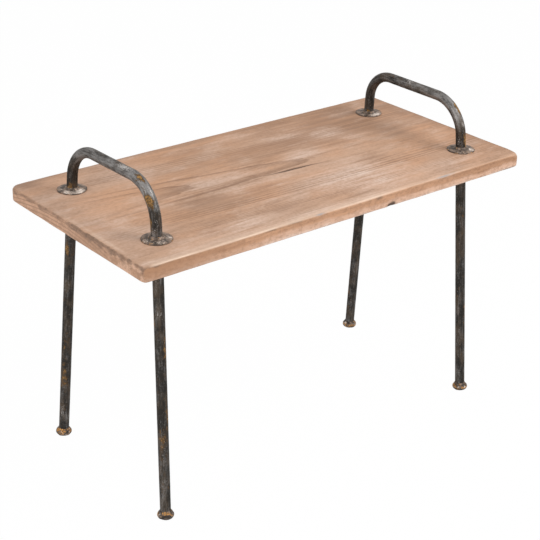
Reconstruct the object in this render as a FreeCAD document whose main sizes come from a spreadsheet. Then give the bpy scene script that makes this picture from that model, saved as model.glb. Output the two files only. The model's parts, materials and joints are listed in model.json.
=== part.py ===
# A tray table: a thick board with two bent tube handles and four splayed legs that screw on.
# Sizes are in millimetres and degrees. +Z is up, and the origin is on the floor under the middle
# of the board. X runs along the board: left is -X, right is +X, front is -Y and back is +Y.
import FreeCAD, Part
import math
import os
import Sketcher

sizes = {
    # Board: its top face is at table_height
    "board_length": 711,
    "board_width": 343,
    "board_thickness": 22,
    "board_corner_round": 7,
    "board_edge_round": 2.2,
    "table_height": 422,
    # Posts: where each leg's axis crosses the board's top face, and how far it leans outward
    "post_inset_end": 66,
    "post_inset_side": 65,
    "splay_end": 1.9,
    "splay_side": 4.5,
    # Steel tube of the handles and legs
    "tube_diameter": 16,
    "tube_wall": 2,
    # Handles, bent by hand: height of the top bar, and straight run of each post above its plug
    "left_handle_rise": 73,
    "left_front_run": 5,
    "left_back_run": 4,
    "right_handle_rise": 74.5,
    "right_front_run": 7,
    "right_back_run": 14,
    # Washers under the handle posts, and the weld round each post
    "handle_washer_diameter": 45,
    "handle_washer_thickness": 3,
    "handle_washer_rim": 1.4,
    "handle_washer_clearance": 1,
    "handle_weld_leg": 2.5,
    # Studs, the threaded plugs above them and the threaded bushes below
    "stud_diameter": 8,
    "stud_chamfer": 1,
    "stud_engagement": 20,
    "thread_clearance": 0.05,
    "insert_clearance": 0.05,
    "plug_length": 12,
    "plug_recess": 1,
    "bush_length": 22,
    "bush_recess": 1,
    # Holes through the board, and the washers in the seats that are cut square to the legs
    "board_hole_clearance": 1,
    "under_washer_diameter": 30,
    "under_washer_thickness": 2,
    "under_washer_clearance": 0.5,
    "seat_clearance": 0.5,
    "seat_depth": 1,
    # Feet: a round bead with a weld round the tube and a spigot up inside it
    "foot_overhang": 4.25,
    "foot_bead_round": 5,
    "foot_shoulder_angle": 48,
    "foot_grind": 1.2,
    "foot_weld_height": 4,
    "foot_spigot_length": 10,
}
doc = FreeCAD.newDocument("tray_table")
sheet = doc.addObject("Spreadsheet::Sheet", "Dims")
for row, (alias, size) in enumerate(sizes.items(), start=1):
    sheet.set(f"A{row}", alias)
    sheet.set(f"B{row}", str(size))
    sheet.setAlias(f"B{row}", alias)
doc.recompute()

# The corners, with -1 or 1 for left or right and for front or back
corners = {
    "front_left": (-1, -1),
    "front_right": (1, -1),
    "back_left": (-1, 1),
    "back_right": (1, 1),
}

# Where the post axes cross the board's top face, and their slope from upright
post_x = "(Dims.board_length / 2 - Dims.post_inset_end)"
post_y = "(Dims.board_width / 2 - Dims.post_inset_side)"
tilt_cos = "(cos(Dims.splay_end) * cos(Dims.splay_side))"
tilt_tan = f"tan(acos{tilt_cos})"

# Sizes round a post axis
tube_radius = "(Dims.tube_diameter / 2)"
tube_bore = "(Dims.tube_diameter - 2 * Dims.tube_wall)"
insert_diameter = f"({tube_bore} - 2 * Dims.insert_clearance)"
thread_bore = "(Dims.stud_diameter + 2 * Dims.thread_clearance)"
under_washer_bore = "(Dims.stud_diameter + 2 * Dims.under_washer_clearance)"
board_hole_radius = "(Dims.stud_diameter / 2 + Dims.board_hole_clearance)"
seat_radius = "(Dims.under_washer_diameter / 2 + Dims.seat_clearance)"

# Heights along a post axis, from the board's top face
washer_top = f"(Dims.handle_washer_thickness / {tilt_cos})"
plug_start = f"({washer_top} + Dims.plug_recess)"
plug_end = f"({plug_start} + Dims.plug_length)"
seat_height = f"({seat_radius} * {tilt_tan} + Dims.seat_depth - Dims.board_thickness / {tilt_cos})"
leg_top = f"({seat_height} - Dims.under_washer_thickness)"
stud_end = f"({leg_top} - Dims.stud_engagement)"
bush_start = f"({leg_top} - Dims.bush_recess - Dims.bush_length)"
foot_underside = f"(-Dims.table_height / {tilt_cos} - Dims.foot_grind)"
bead_middle = f"({foot_underside} + Dims.foot_bead_round)"
foot_seat = f"({bead_middle} + Dims.foot_bead_round * sin(Dims.foot_shoulder_angle))"


def post_frame(end, side):
    place = f"vector({end} * {post_x}; {side} * {post_y}; Dims.table_height)"
    turn = f"rotation(0; {-end} * Dims.splay_end; {side} * Dims.splay_side)"
    return f"placement({place}; {turn})"


def handle_frame(end):
    place = f"vector({end} * {post_x}; 0; Dims.table_height)"
    return f"placement({place}; rotation(0; {-end} * Dims.splay_end; 0))"


def level_frame(across, along, height):
    return f"placement(vector({across}; {along}; {height}); rotation(0; 0; 0))"


def value(expression):
    return float(sheet.evalExpression(expression))


def point(across, up):
    return FreeCAD.Vector(value(across), value(up))


def new_body(label, frame):
    body = doc.addObject("PartDesign::Body", label)
    body.setExpression("Placement", frame)
    return body


def new_sketch(body, name, role):
    sketch = body.newObject("Sketcher::SketchObject", f"{body.Name}_{name}")
    plane = next(item for item in body.Origin.OriginFeatures if item.Role == role)
    sketch.AttachmentSupport = [(plane, "")]
    sketch.MapMode = "FlatFace"
    return sketch


def constrain(sketch, expression, kind, *where):
    number = sketch.addConstraint(Sketcher.Constraint(kind, *where))
    sketch.setExpression(f"Constraints[{number}]", expression)


def place_point(sketch, item, end, across, up):
    constrain(sketch, across, "DistanceX", -1, 1, item, end, value(across))
    constrain(sketch, up, "DistanceY", -1, 1, item, end, value(up))


def add_circle(sketch, diameter):
    size = value(diameter)
    item = sketch.addGeometry(Part.Circle(FreeCAD.Vector(), FreeCAD.Vector(0, 0, 1), size / 2))
    sketch.addConstraint(Sketcher.Constraint("Coincident", item, 3, -1, 1))
    constrain(sketch, diameter, "Diameter", item, size)


# A closed outline through the corners, whose last side is straight or an arc through arc_middle
def add_outline(sketch, outline, arc_middle=None, arc_radius=None):
    places = [point(*corner) for corner in outline]
    sides = [Part.LineSegment(start, end) for start, end in zip(places, places[1:])]
    if arc_radius:
        sides.append(Part.Arc(places[-1], point(*arc_middle), places[0]))
    else:
        sides.append(Part.LineSegment(places[-1], places[0]))
    items = [sketch.addGeometry(side) for side in sides]
    for item, following in zip(items, items[1:] + items[:1]):
        sketch.addConstraint(Sketcher.Constraint("Coincident", item, 2, following, 1))
    for item, corner in zip(items, outline):
        place_point(sketch, item, 1, *corner)
    if arc_radius:
        constrain(sketch, arc_radius, "Radius", items[-1], value(arc_radius))


def turned_body(label, frame, outline, arc_middle=None, arc_radius=None):
    body = new_body(label, frame)
    sketch = new_sketch(body, "outline", "XZ_Plane")
    add_outline(sketch, outline, arc_middle, arc_radius)
    turned = body.newObject("PartDesign::Revolution", f"{label}_turned")
    turned.Profile = sketch
    turned.ReferenceAxis = (sketch, ["V_Axis"])
    turned.Angle = 360
    return body


def tube_body(label, frame, outer, bore, start, length):
    body = new_body(label, frame)
    sketch = new_sketch(body, "section", "XY_Plane")
    sketch.setExpression("AttachmentOffset.Base.z", start)
    add_circle(sketch, outer)
    add_circle(sketch, bore)
    pad = body.newObject("PartDesign::Pad", f"{label}_pad")
    pad.Profile = sketch
    pad.setExpression("Length", length)
    return body


def round_edges(body, base, chosen, radius):
    rounded = body.newObject("PartDesign::Fillet", f"{base.Name}_rounded")
    edges = enumerate(base.Shape.Edges, start=1)
    rounded.Base = (base, [f"Edge{number}" for number, edge in edges if chosen(edge)])
    rounded.setExpression("Radius", radius)
    doc.recompute()
    return rounded


def upright(edge):
    return edge.BoundBox.ZLength > edge.BoundBox.DiagonalLength / 2


def level(edge):
    return not upright(edge)


def cut_away(label, base, tool):
    cut = doc.addObject("Part::Cut", label)
    cut.Base = base
    cut.Tool = tool
    doc.recompute()
    if not cut.Shape.Volume < base.Shape.Volume:
        raise RuntimeError(f"{label}: nothing was cut away")
    return cut


# A block that holds everything just below a level, to cut tube ends and feet off flat
def block_below(label, height):
    depth = "(Dims.board_thickness + Dims.tube_diameter)"
    block = doc.addObject("Part::Box", label)
    block.setExpression("Length", "2 * Dims.board_length")
    block.setExpression("Width", "2 * Dims.board_width")
    block.setExpression("Height", depth)
    frame = level_frame("-Dims.board_length", "-Dims.board_width", f"{height} - {depth}")
    block.setExpression("Placement", frame)
    return block


# A stepped drill in line with a post: the stud's hole, and below it the seat for its washer
def make_drill(name, end, side):
    above = "Dims.board_thickness"
    below = f"({seat_height} - Dims.board_thickness)"
    outline = [
        ("0", above),
        ("0", below),
        (seat_radius, below),
        (seat_radius, seat_height),
        (board_hole_radius, seat_height),
        (board_hole_radius, above),
    ]
    return turned_body(f"stud_hole_{name}", post_frame(end, side), outline)


def make_board():
    height = "Dims.table_height - Dims.board_thickness"
    blank = new_body("board_blank", level_frame("0", "0", height))
    sketch = new_sketch(blank, "outline", "XY_Plane")
    half_length = "Dims.board_length / 2"
    half_width = "Dims.board_width / 2"
    around = [(-1, -1), (1, -1), (1, 1), (-1, 1)]
    add_outline(sketch, [(f"{x} * {half_length}", f"{y} * {half_width}") for x, y in around])
    slab = blank.newObject("PartDesign::Pad", "board_slab")
    slab.Profile = sketch
    slab.setExpression("Length", "Dims.board_thickness")
    doc.recompute()
    cornered = round_edges(blank, slab, upright, "Dims.board_corner_round")
    round_edges(blank, cornered, level, "Dims.board_edge_round")
    holes = doc.addObject("Part::MultiFuse", "stud_holes")
    holes.Shapes = [make_drill(name, end, side) for name, (end, side) in corners.items()]
    doc.recompute()
    return cut_away("tray_board", blank, holes)


# One bend's places in the handle's plane: the post's foot, the bend's two ends and its arc
def bend_places(side, spread, spare, run, rise):
    lean = math.radians(value("Dims.splay_side"))
    foot = FreeCAD.Vector(side * value(spread), -value(spare))
    low = foot + FreeCAD.Vector(-side * math.sin(lean), math.cos(lean)) * value(run)
    radius = (value(rise) - low.y) / (1 - math.sin(lean))
    high = FreeCAD.Vector(low.x - side * radius * math.cos(lean), value(rise))
    circle = Part.Circle(high - FreeCAD.Vector(0, radius), FreeCAD.Vector(0, 0, 1), radius)
    if side < 0:
        arc = Part.ArcOfCircle(circle, math.pi / 2, math.pi - lean)
    else:
        arc = Part.ArcOfCircle(circle, lean, math.pi / 2)
    return foot, low, high, arc


# A handle is one bent tube: a leaning post, a bend, the top bar, a bend and the other post
def make_handle(label, end, rise, front_run, back_run, washer_block):
    body = new_body(f"{label}_tube", handle_frame(end))
    path = new_sketch(body, "path", "YZ_Plane")
    spare = "Dims.tube_diameter"
    spread = f"({post_y} + {spare} * tan(Dims.splay_side))"
    front_length = f"({spare} / cos(Dims.splay_side) + {plug_end} + {front_run})"
    back_length = f"({spare} / cos(Dims.splay_side) + {plug_end} + {back_run})"
    front, front_low, front_high, front_arc = bend_places(-1, spread, spare, front_length, rise)
    back, back_low, back_high, back_arc = bend_places(1, spread, spare, back_length, rise)
    front_post = path.addGeometry(Part.LineSegment(front, front_low))
    front_bend = path.addGeometry(front_arc)
    top_bar = path.addGeometry(Part.LineSegment(front_high, back_high))
    back_bend = path.addGeometry(back_arc)
    back_post = path.addGeometry(Part.LineSegment(back_low, back))
    path.addConstraint(Sketcher.Constraint("Tangent", front_post, 2, front_bend, 2))
    path.addConstraint(Sketcher.Constraint("Tangent", front_bend, 1, top_bar, 1))
    path.addConstraint(Sketcher.Constraint("Tangent", top_bar, 2, back_bend, 2))
    path.addConstraint(Sketcher.Constraint("Tangent", back_bend, 1, back_post, 1))
    path.addConstraint(Sketcher.Constraint("Horizontal", top_bar))
    place_point(path, front_post, 1, f"-{spread}", f"-{spare}")
    place_point(path, back_post, 2, spread, f"-{spare}")
    lean = math.radians(90 - value("Dims.splay_side"))
    constrain(path, "(90 - Dims.splay_side) * 1 deg", "Angle", front_post, lean)
    constrain(path, "(Dims.splay_side - 90) * 1 deg", "Angle", back_post, -lean)
    constrain(path, front_length, "Distance", front_post, value(front_length))
    constrain(path, back_length, "Distance", back_post, value(back_length))
    constrain(path, rise, "DistanceY", -1, 1, top_bar, 1, value(rise))
    section = body.newObject("Sketcher::SketchObject", f"{label}_section")
    section.AttachmentSupport = [(path, "Edge1")]
    section.MapMode = "NormalToEdge"
    add_circle(section, "Dims.tube_diameter")
    add_circle(section, tube_bore)
    doc.recompute()
    bent = body.newObject("PartDesign::AdditivePipe", f"{label}_bent")
    bent.Profile = section
    bent.Spine = (path, [f"Edge{number}" for number in range(1, 6)])
    doc.recompute()
    return cut_away(label, body, washer_block)


# A dished washer lies flat on the board, with a sloped weld from it to the leaning post
def make_handle_washer(name, end, side):
    bore = "(Dims.stud_diameter / 2 + Dims.handle_washer_clearance)"
    crown = f"({tube_radius} + Dims.handle_weld_leg)"
    rim = "(Dims.handle_washer_diameter / 2)"
    outline = [
        (crown, "Dims.handle_washer_thickness"),
        (bore, "Dims.handle_washer_thickness"),
        (bore, "0"),
        (rim, "0"),
        (rim, "Dims.handle_washer_rim"),
    ]
    frame = level_frame(f"{end} * {post_x}", f"{side} * {post_y}", "Dims.table_height")
    disc = turned_body(f"washer_disc_{name}", frame, outline)
    low = f"({washer_top} / 2)"
    reach = f"(Dims.handle_weld_leg + {low})"
    slope = [(tube_radius, low), (f"({tube_radius} + {reach})", low), (tube_radius, f"({low} + {reach})")]
    weld = turned_body(f"washer_weld_{name}", post_frame(end, side), slope)
    washer = doc.addObject("Part::Fuse", f"handle_washer_{name}")
    washer.Base = disc
    washer.Tool = weld
    return washer


def make_stud(name, end, side):
    radius = "(Dims.stud_diameter / 2)"
    tip = f"({radius} - Dims.stud_chamfer)"
    outline = [
        ("0", plug_end),
        ("0", stud_end),
        (tip, stud_end),
        (radius, f"({stud_end} + Dims.stud_chamfer)"),
        (radius, f"({plug_end} - Dims.stud_chamfer)"),
        (tip, plug_end),
    ]
    return turned_body(f"stud_{name}", post_frame(end, side), outline)


# A foot's underside is ground level with the floor, so that it stands flat under its leaning leg
def make_foot(name, end, side, floor_block):
    widest = f"({tube_radius} + Dims.foot_overhang)"
    bead = f"({widest} - Dims.foot_bead_round)"
    shoulder = f"({bead} + Dims.foot_bead_round * cos(Dims.foot_shoulder_angle))"
    spigot = f"({insert_diameter} / 2)"
    spigot_top = f"({foot_seat} + Dims.foot_spigot_length)"
    outline = [
        (shoulder, foot_seat),
        (tube_radius, f"({foot_seat} + Dims.foot_weld_height)"),
        (tube_radius, foot_seat),
        (spigot, foot_seat),
        (spigot, spigot_top),
        ("0", spigot_top),
        ("0", foot_underside),
        (bead, foot_underside),
    ]
    arc_middle = (widest, bead_middle)
    frame = post_frame(end, side)
    cast = turned_body(f"foot_cast_{name}", frame, outline, arc_middle, "Dims.foot_bead_round")
    doc.recompute()
    return cut_away(f"foot_{name}", cast, floor_block)


def make_corner(name, end, side, floor_block):
    frame = post_frame(end, side)
    return [
        make_handle_washer(name, end, side),
        tube_body(f"handle_plug_{name}", frame, insert_diameter, thread_bore,
                  plug_start, "Dims.plug_length"),
        make_stud(name, end, side),
        tube_body(f"under_washer_{name}", frame, "Dims.under_washer_diameter", under_washer_bore,
                  leg_top, "Dims.under_washer_thickness"),
        tube_body(f"leg_{name}", frame, "Dims.tube_diameter", tube_bore,
                  foot_seat, f"({leg_top} - {foot_seat})"),
        tube_body(f"leg_bush_{name}", frame, insert_diameter, thread_bore,
                  bush_start, "Dims.bush_length"),
        make_foot(name, end, side, floor_block),
    ]


washer_block = block_below("washer_block", "(Dims.table_height + Dims.handle_washer_thickness)")
floor_block = block_below("floor_block", "0")
pieces = [
    make_board(),
    make_handle("left_handle", -1, "Dims.left_handle_rise", "Dims.left_front_run", "Dims.left_back_run",
                washer_block),
    make_handle("right_handle", 1, "Dims.right_handle_rise", "Dims.right_front_run", "Dims.right_back_run",
                washer_block),
]
for name, (end, side) in corners.items():
    pieces += make_corner(name, end, side, floor_block)
doc.recompute()

for item in doc.Objects:
    if "Invalid" in item.State or "Error" in item.State:
        raise RuntimeError(f"{item.Label} failed: {item.State}")
for piece in pieces:
    if piece.Shape.isNull() or not piece.Shape.isValid() or len(piece.Shape.Solids) != 1:
        raise RuntimeError(f"{piece.Label} is not one sound solid")

os.makedirs("parts", exist_ok=True)
for piece in pieces:
    piece.Shape.exportStep(f"parts/{piece.Label}.step")
    print(f"{piece.Label}: {piece.Shape.Volume / 1000:.2f} cm3")
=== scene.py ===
import json
import math
import bmesh
import bpy
import numpy as np
from mathutils import Matrix, Vector, noise


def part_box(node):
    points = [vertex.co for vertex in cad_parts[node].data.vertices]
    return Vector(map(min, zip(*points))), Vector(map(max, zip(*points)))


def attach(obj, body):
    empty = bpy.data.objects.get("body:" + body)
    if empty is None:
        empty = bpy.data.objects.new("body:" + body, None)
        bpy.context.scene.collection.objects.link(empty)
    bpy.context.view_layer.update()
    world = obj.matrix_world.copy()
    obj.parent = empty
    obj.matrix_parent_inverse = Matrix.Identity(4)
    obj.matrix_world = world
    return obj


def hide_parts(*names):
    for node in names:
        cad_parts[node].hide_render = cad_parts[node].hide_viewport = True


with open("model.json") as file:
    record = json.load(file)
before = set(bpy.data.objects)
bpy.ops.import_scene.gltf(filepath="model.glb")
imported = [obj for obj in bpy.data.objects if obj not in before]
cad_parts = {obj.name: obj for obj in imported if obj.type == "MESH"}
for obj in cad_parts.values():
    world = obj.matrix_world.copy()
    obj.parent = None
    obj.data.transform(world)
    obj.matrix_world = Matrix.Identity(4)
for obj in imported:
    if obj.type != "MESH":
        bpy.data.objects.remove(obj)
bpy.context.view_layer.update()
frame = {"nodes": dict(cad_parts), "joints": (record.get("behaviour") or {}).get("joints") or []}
scene = bpy.context.scene
print("frame loaded:", len(frame["nodes"]), "solids")

# Each corner's post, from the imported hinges: where its axis meets the board's top, and the way down the leg
corners = {}
for joint in frame["joints"]:
    if joint["type"] == "hinge":
        cornerName = joint["name"].removesuffix("_leg_unscrew")
        corners[cornerName] = {"top": Vector(joint["pos_m"]), "down": Vector(joint["axis"]).normalized()}

boardLow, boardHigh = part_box("tray_board")
boardHalf = (boardHigh - boardLow) / 2
boardThickness = boardHigh.z - boardLow.z
nearNothing = 1e-9  # keeps divisions away from zero


# Nodes for the finishes: each new node joins the tree of the sockets that feed it

def newFinish(name):
    finish = bpy.data.materials.new(name)
    finish.use_nodes = True
    tree = finish.node_tree
    shader = next(node for node in tree.nodes if node.type == "BSDF_PRINCIPLED")
    return finish, tree, shader


def feed(socket, value):
    if isinstance(value, bpy.types.NodeSocket):
        socket.id_data.links.new(value, socket)
    else:
        socket.default_value = value


def nodeFor(kind, *values):
    given = next(value for value in values if isinstance(value, bpy.types.NodeSocket))
    return given.id_data.nodes.new(kind)


def maths(operation, *values):
    node = nodeFor("ShaderNodeMath", *values)
    node.operation = operation
    for socket, value in zip(node.inputs, values):
        feed(socket, value)
    return node.outputs[0]


def times(first, *others):
    for other in others:
        first = maths("MULTIPLY", first, other)
    return first


def timesPlus(value, amount, added):
    return maths("MULTIPLY_ADD", value, amount, added)


def ease(value, low, high, start=0.0, end=1.0):  # a soft step from start to end
    node = nodeFor("ShaderNodeMapRange", value)
    node.interpolation_type = "SMOOTHSTEP"
    for socket, given in zip(node.inputs, (value, low, high, start, end)):
        feed(socket, given)
    return node.outputs[0]


def sharpBand(share, low, high, drop):  # grows softly from low to high, and falls away from drop to 1
    return times(ease(share, low, high), ease(share, drop, 1.0, 1.0, 0.0))


def mottle(place, pace, detail, rough):  # pace is how many spots a metre holds along x, y and z
    mapping = nodeFor("ShaderNodeMapping", place)
    feed(mapping.inputs["Scale"], pace)
    feed(mapping.inputs["Vector"], place)
    node = nodeFor("ShaderNodeTexNoise", place)
    feed(node.inputs["Vector"], mapping.outputs[0])
    for name, value in (("Scale", 1.0), ("Detail", detail), ("Roughness", rough)):
        feed(node.inputs[name], value)
    return node.outputs["Fac"]


def tint(share, first, second):
    node = nodeFor("ShaderNodeMix", share)
    node.data_type = "RGBA"
    feed(node.inputs["Factor"], share)
    for socket, colour in zip(node.inputs[6:8], (first, second)):  # the two colours among its inputs
        feed(socket, colour if isinstance(colour, bpy.types.NodeSocket) else (*colour, 1.0))
    return node.outputs[2]


def layered(colour, *layers):  # lays tones over a colour in turn, each by its own share
    for share, tone in layers:
        colour = tint(share, colour, tone)
    return colour


def field(tree, name, output="Fac"):
    node = tree.nodes.new("ShaderNodeAttribute")
    node.attribute_name = name
    return node.outputs[output]


def objectPlace(tree):
    return tree.nodes.new("ShaderNodeTexCoord").outputs["Object"]


def relief(shader, height, depth):
    node = nodeFor("ShaderNodeBump", height)
    for name, value in (("Strength", 1.0), ("Distance", depth), ("Height", height)):
        feed(node.inputs[name], value)
    feed(shader.inputs["Normal"], node.outputs[0])


# Shapes shared by the pieces

seedShift = (3.7, 1.9, 5.3)  # how far apart in the noise two seeds lie


def unevenness(points, grain, seed):  # smooth noise, about -1 to 1
    shift = Vector([seed * step for step in seedShift])
    flat = np.reshape(points, (-1, 3))
    values = [noise.noise(Vector(point) / grain + shift) for point in flat]
    return np.reshape(values, np.shape(points)[:-1])


def hump(away, half):  # 1 in the middle, and about a third at half
    return np.exp(-((away / half) ** 2))


def within(number, limits):
    return (number >= limits[0]) & (number <= limits[1])


def ringFaces(rings, sides, closed=False, capped=False):
    index = np.arange(rings * sides).reshape(rings, sides)
    caps = index[[0, -1]].tolist() if capped else []
    if closed:
        index = np.vstack([index, index[:1]])
    beside = np.roll(index, -1, axis=1)
    quads = np.stack([index[:-1], beside[:-1], beside[1:], index[1:]], axis=-1)
    return quads.reshape(-1, 4).tolist() + caps


def turnAngles(sides):
    return np.arange(sides) * 2 * math.pi / sides


def roundTurn(sides):
    turn = turnAngles(sides)
    return np.cos(turn), np.sin(turn)


def postAxes(corner):  # two directions square to the post
    across = Vector((1, 0, 0))
    across = (across - corner["down"] * across.dot(corner["down"])).normalized()
    return np.array(across), np.array(corner["down"].cross(across))


def spokes(corner, sides):  # directions square to the post, all the way round it
    cosTurn, sinTurn = roundTurn(sides)
    across, forward = postAxes(corner)
    return cosTurn[:, None] * across + sinTurn[:, None] * forward


def alongPost(corner, depths):  # places on the post's axis, by depth below the board's top
    return np.array(corner["top"]) + np.reshape(depths, (-1, 1)) * np.array(corner["down"])


def turnedRings(corner, depths, radii, sides):  # rings round the post
    outward = np.reshape(radii, (len(depths), -1, 1)) * spokes(corner, sides)
    return alongPost(corner, depths)[:, None, :] + outward


def reachAlong(node, corner):  # a solid's two ends along its post, below the board's top
    vertices = frame["nodes"][node].data.vertices
    reach = [(vertex.co - corner["top"]).dot(corner["down"]) for vertex in vertices]
    return min(reach), max(reach)


def shellMesh(name, points, faces, finish):
    mesh = bpy.data.meshes.new(name)
    mesh.from_pydata(np.reshape(points, (-1, 3)).tolist(), [], faces)
    shell = bmesh.new()
    shell.from_mesh(mesh)
    bmesh.ops.recalc_face_normals(shell, faces=shell.faces)
    shell.to_mesh(mesh)
    shell.free()
    mesh.materials.append(finish)
    return mesh


def addObject(name, data):
    item = bpy.data.objects.new(name, data)
    scene.collection.objects.link(item)
    return item


def makePiece(name, points, faces, finish, body, node, fields=None, sharpAngle=40):
    mesh = shellMesh(name, points, faces, finish)
    for fieldName, values in (fields or {}).items():
        vector = np.shape(values)[-1] == 3
        attribute = mesh.attributes.new(fieldName, "FLOAT_VECTOR" if vector else "FLOAT", "POINT")
        attribute.data.foreach_set("vector" if vector else "value", np.ravel(values).astype(np.float32))
    mesh.shade_smooth()
    mesh.set_sharp_from_angle(angle=math.radians(sharpAngle))
    piece = addObject(name, mesh)
    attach(piece, body)
    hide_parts(node)
    return piece


# Board: one flat-sawn plank, washed pale, with eased and worn edges, a crack and chipped ends
board = {
    # how far each corner of the plan is rounded: end, side and radius
    "cornerRounds": ((-1, -1, 0.003), (1, -1, 0.009), (-1, 1, 0.013), (1, 1, 0.008)),
    # how much rounder the top edge gets towards a corner: end, side, added radius and reach
    "cornerWear": ((1, -1, 0.005, 0.014), (-1, 1, 0.002, 0.02), (-1, -1, 0.001, 0.01)),
    "lowerCornerWear": 0.3,  # the lower edge's share of it
    "edgeRound": 0.0021,
    "endRound": 0.0012,
    "edgeWear": 0.0008,
    "wearLength": 0.035,
    "wearSeeds": (1, 2),
    # the mesh: how far its lines lie from an edge, the rows between them on the sides, and its spacing
    # along x and y, with finer stretches at the knot and the crack: from, to and spacing
    "edgeLines": (0, 0.0004, 0.0008, 0.0013, 0.0019, 0.0027, 0.0038, 0.0055, 0.0078),
    "sideRows": 7,
    "spacing": (0.004, 0.003),
    "fineStretches": ((0.068, 0.092, 0.001), (-0.0255, -0.0115, 0.0003)),
    "sharpAngle": 60,
    "planing": 0.00012,
    "planingSize": 0.06,
    "planingSeed": 3,
    "flatTop": 0.9,  # how much a face has to point up for the crack to cut it
    "crackPath": ((-0.037, -0.0137), (0.004, -0.0163), (0.026, -0.0166), (0.057, -0.0187), (0.1, -0.0237)),
    "crackDepth": (
        (-0.035, 0), (-0.012, 0.0005), (0.012, 0.0014), (0.035, 0.0014), (0.058, 0.0005), (0.1, 0),
    ),
    "crackDeepest": 0.0014,
    "crackHalf": 0.0011,
    "crackNarrow": 0.5,
    # the crack's dark line: how much wider it is than the crack, and the depth that makes it full
    "crackShade": (1.3, 0.001),
    # the brown beside the crack: half width, the depth for full strength, and its most
    "crackBrown": (0.003, 0.0008, 0.7),
    "knotDark": 1.5,
    "darkest": 0.95,
    # the dark upright edge of the front-left corner: half width and strength
    "arris": (0.0013, 0.7),
    # pale line along the front's top edge, rubbed wear with a painted highlight: half width, its haze's half
    # width and share; then x and strength
    "frontLine": (0.0035, 0.021, 0.25),
    "frontLineShares": ((-0.3475, 0), (-0.3375, 1), (0.05, 0.7), (0.3, 0.3)),
    # pale line inside the left end: inset, half width and strength; then y and share
    "endLine": (0.0075, 0.0025, 0.4),
    "endLineShares": ((-0.13, 0.1), (-0.09, 1), (-0.048, 1), (0.072, 0)),
    "holeRadius": 0.005,
    "seatRadius": 0.0155,
    "seatDepth": 0.001,
    "holeSides": 64,
    # dents: x, y, z, radius, depth
    "dents": (
        (-0.3555, -0.160, 0.4195, 0.0045, 0.0011),
        (-0.3555, -0.147, 0.4185, 0.0060, 0.0010),
        (-0.3555, -0.130, 0.4200, 0.0045, 0.0010),
        (-0.3555, -0.152, 0.4110, 0.0050, 0.0006),
        (-0.3555, -0.080, 0.4210, 0.0070, 0.0008),
        (-0.3555, 0.020, 0.4200, 0.0060, 0.0009),
        (-0.3555, 0.095, 0.4205, 0.0060, 0.0008),
        (-0.3550, -0.1690, 0.4060, 0.0022, 0.0008),
        (-0.3545, -0.1705, 0.4010, 0.0032, 0.0012),
    ),
    # knots gone from the front's lower edge: x, y, z, radius, depth
    "knots": (
        (0.0745, -0.1715, 0.4016, 0.0028, 0.0008),
        (0.0790, -0.1715, 0.4022, 0.0034, 0.0011),
        (0.0840, -0.1715, 0.4030, 0.0030, 0.0009),
    ),
    # marks on the top face, one of them the right handle's painted shadow: x, y, half length, half width,
    # strength
    "smudgesAndShadow": (
        (-0.174, -0.040, 0.028, 0.010, 0.7),
        (-0.135, -0.041, 0.020, 0.008, 0.4),
        # the right handle's painted shadow on the board
        (0.268, 0.010, 0.024, 0.045, 0.5),
        (0.218, 0.061, 0.045, 0.012, 0.6),
        (-0.085, -0.130, 0.035, 0.018, 0.45),
        (-0.208, -0.113, 0.022, 0.030, 0.3),
        (-0.335, 0.158, 0.026, 0.016, 0.95),
        (-0.025, 0.022, 0.025, 0.006, 0.35),
        (-0.320, 0.1690, 0.060, 0.0060, 1.2),
        (-0.180, 0.1705, 0.100, 0.0040, 0.7),
        (0.3540, 0.020, 0.0040, 0.160, 0.9),
    ),
    "greyed": ((0.188, -0.1705, 0.016, 0.0016, 0.9), (-0.058, -0.1705, 0.007, 0.0016, 0.9)),
    "browned": (
        (0.20, 0.10, 0.12, 0.06, 0.9),
        (0.00, 0.168, 0.45, 0.010, 0.6),
        (0.348, 0.0, 0.012, 0.3, 0.5),
        (0.335, -0.155, 0.03, 0.02, 0.4),
        (0.086, -0.103, 0.03, 0.012, 0.3),
        (-0.01, 0.075, 0.14, 0.030, 0.8),
        (-0.19, 0.018, 0.045, 0.014, 0.5),
        (-0.16, -0.055, 0.09, 0.030, 0.45),
        (-0.34, -0.168, 0.04, 0.012, 0.6),
        (0.343, 0.11, 0.022, 0.08, 0.9),
        (0.23, 0.135, 0.09, 0.035, 0.5),
        (-0.06, 0.13, 0.05, 0.02, 0.5),
        (-0.06, -0.058, 0.05, 0.016, 0.5),
        (0.22, -0.10, 0.05, 0.015, 0.4),
        (0.27, 0.02, 0.06, 0.05, 0.35),
        (-0.08, 0.15, 0.12, 0.025, 0.2),
    ),
    "paleSpots": (
        (-0.33, 0.0, 0.05, 0.13, 0.4),
        (-0.02, -0.02, 0.05, 0.012, 0.35),
        (0.166, 0.069, 0.030, 0.018, 0.8),
        (0.20, 0.037, 0.030, 0.012, 0.4),
        (0.076, 0.022, 0.035, 0.018, 0.6),
        (0.06, -0.085, 0.080, 0.036, 1.0),
        (0.10, -0.073, 0.030, 0.020, 0.5),
        (-0.159, -0.136, 0.060, 0.014, 0.8),
        (-0.135, 0.013, 0.030, 0.012, 0.6),
        (-0.095, 0.014, 0.050, 0.018, 0.5),
        (0.20, -0.135, 0.10, 0.020, 0.3),
        (0.0956, 0.098, 0.04, 0.012, 0.5),
        (-0.05, -0.162, 0.32, 0.010, 0.6),
        (0.08, -0.13, 0.045, 0.016, 0.8),
        (-0.20, 0.12, 0.05, 0.03, 0.4),
        (-0.10, -0.028, 0.045, 0.014, 0.5),
    ),
}

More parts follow.
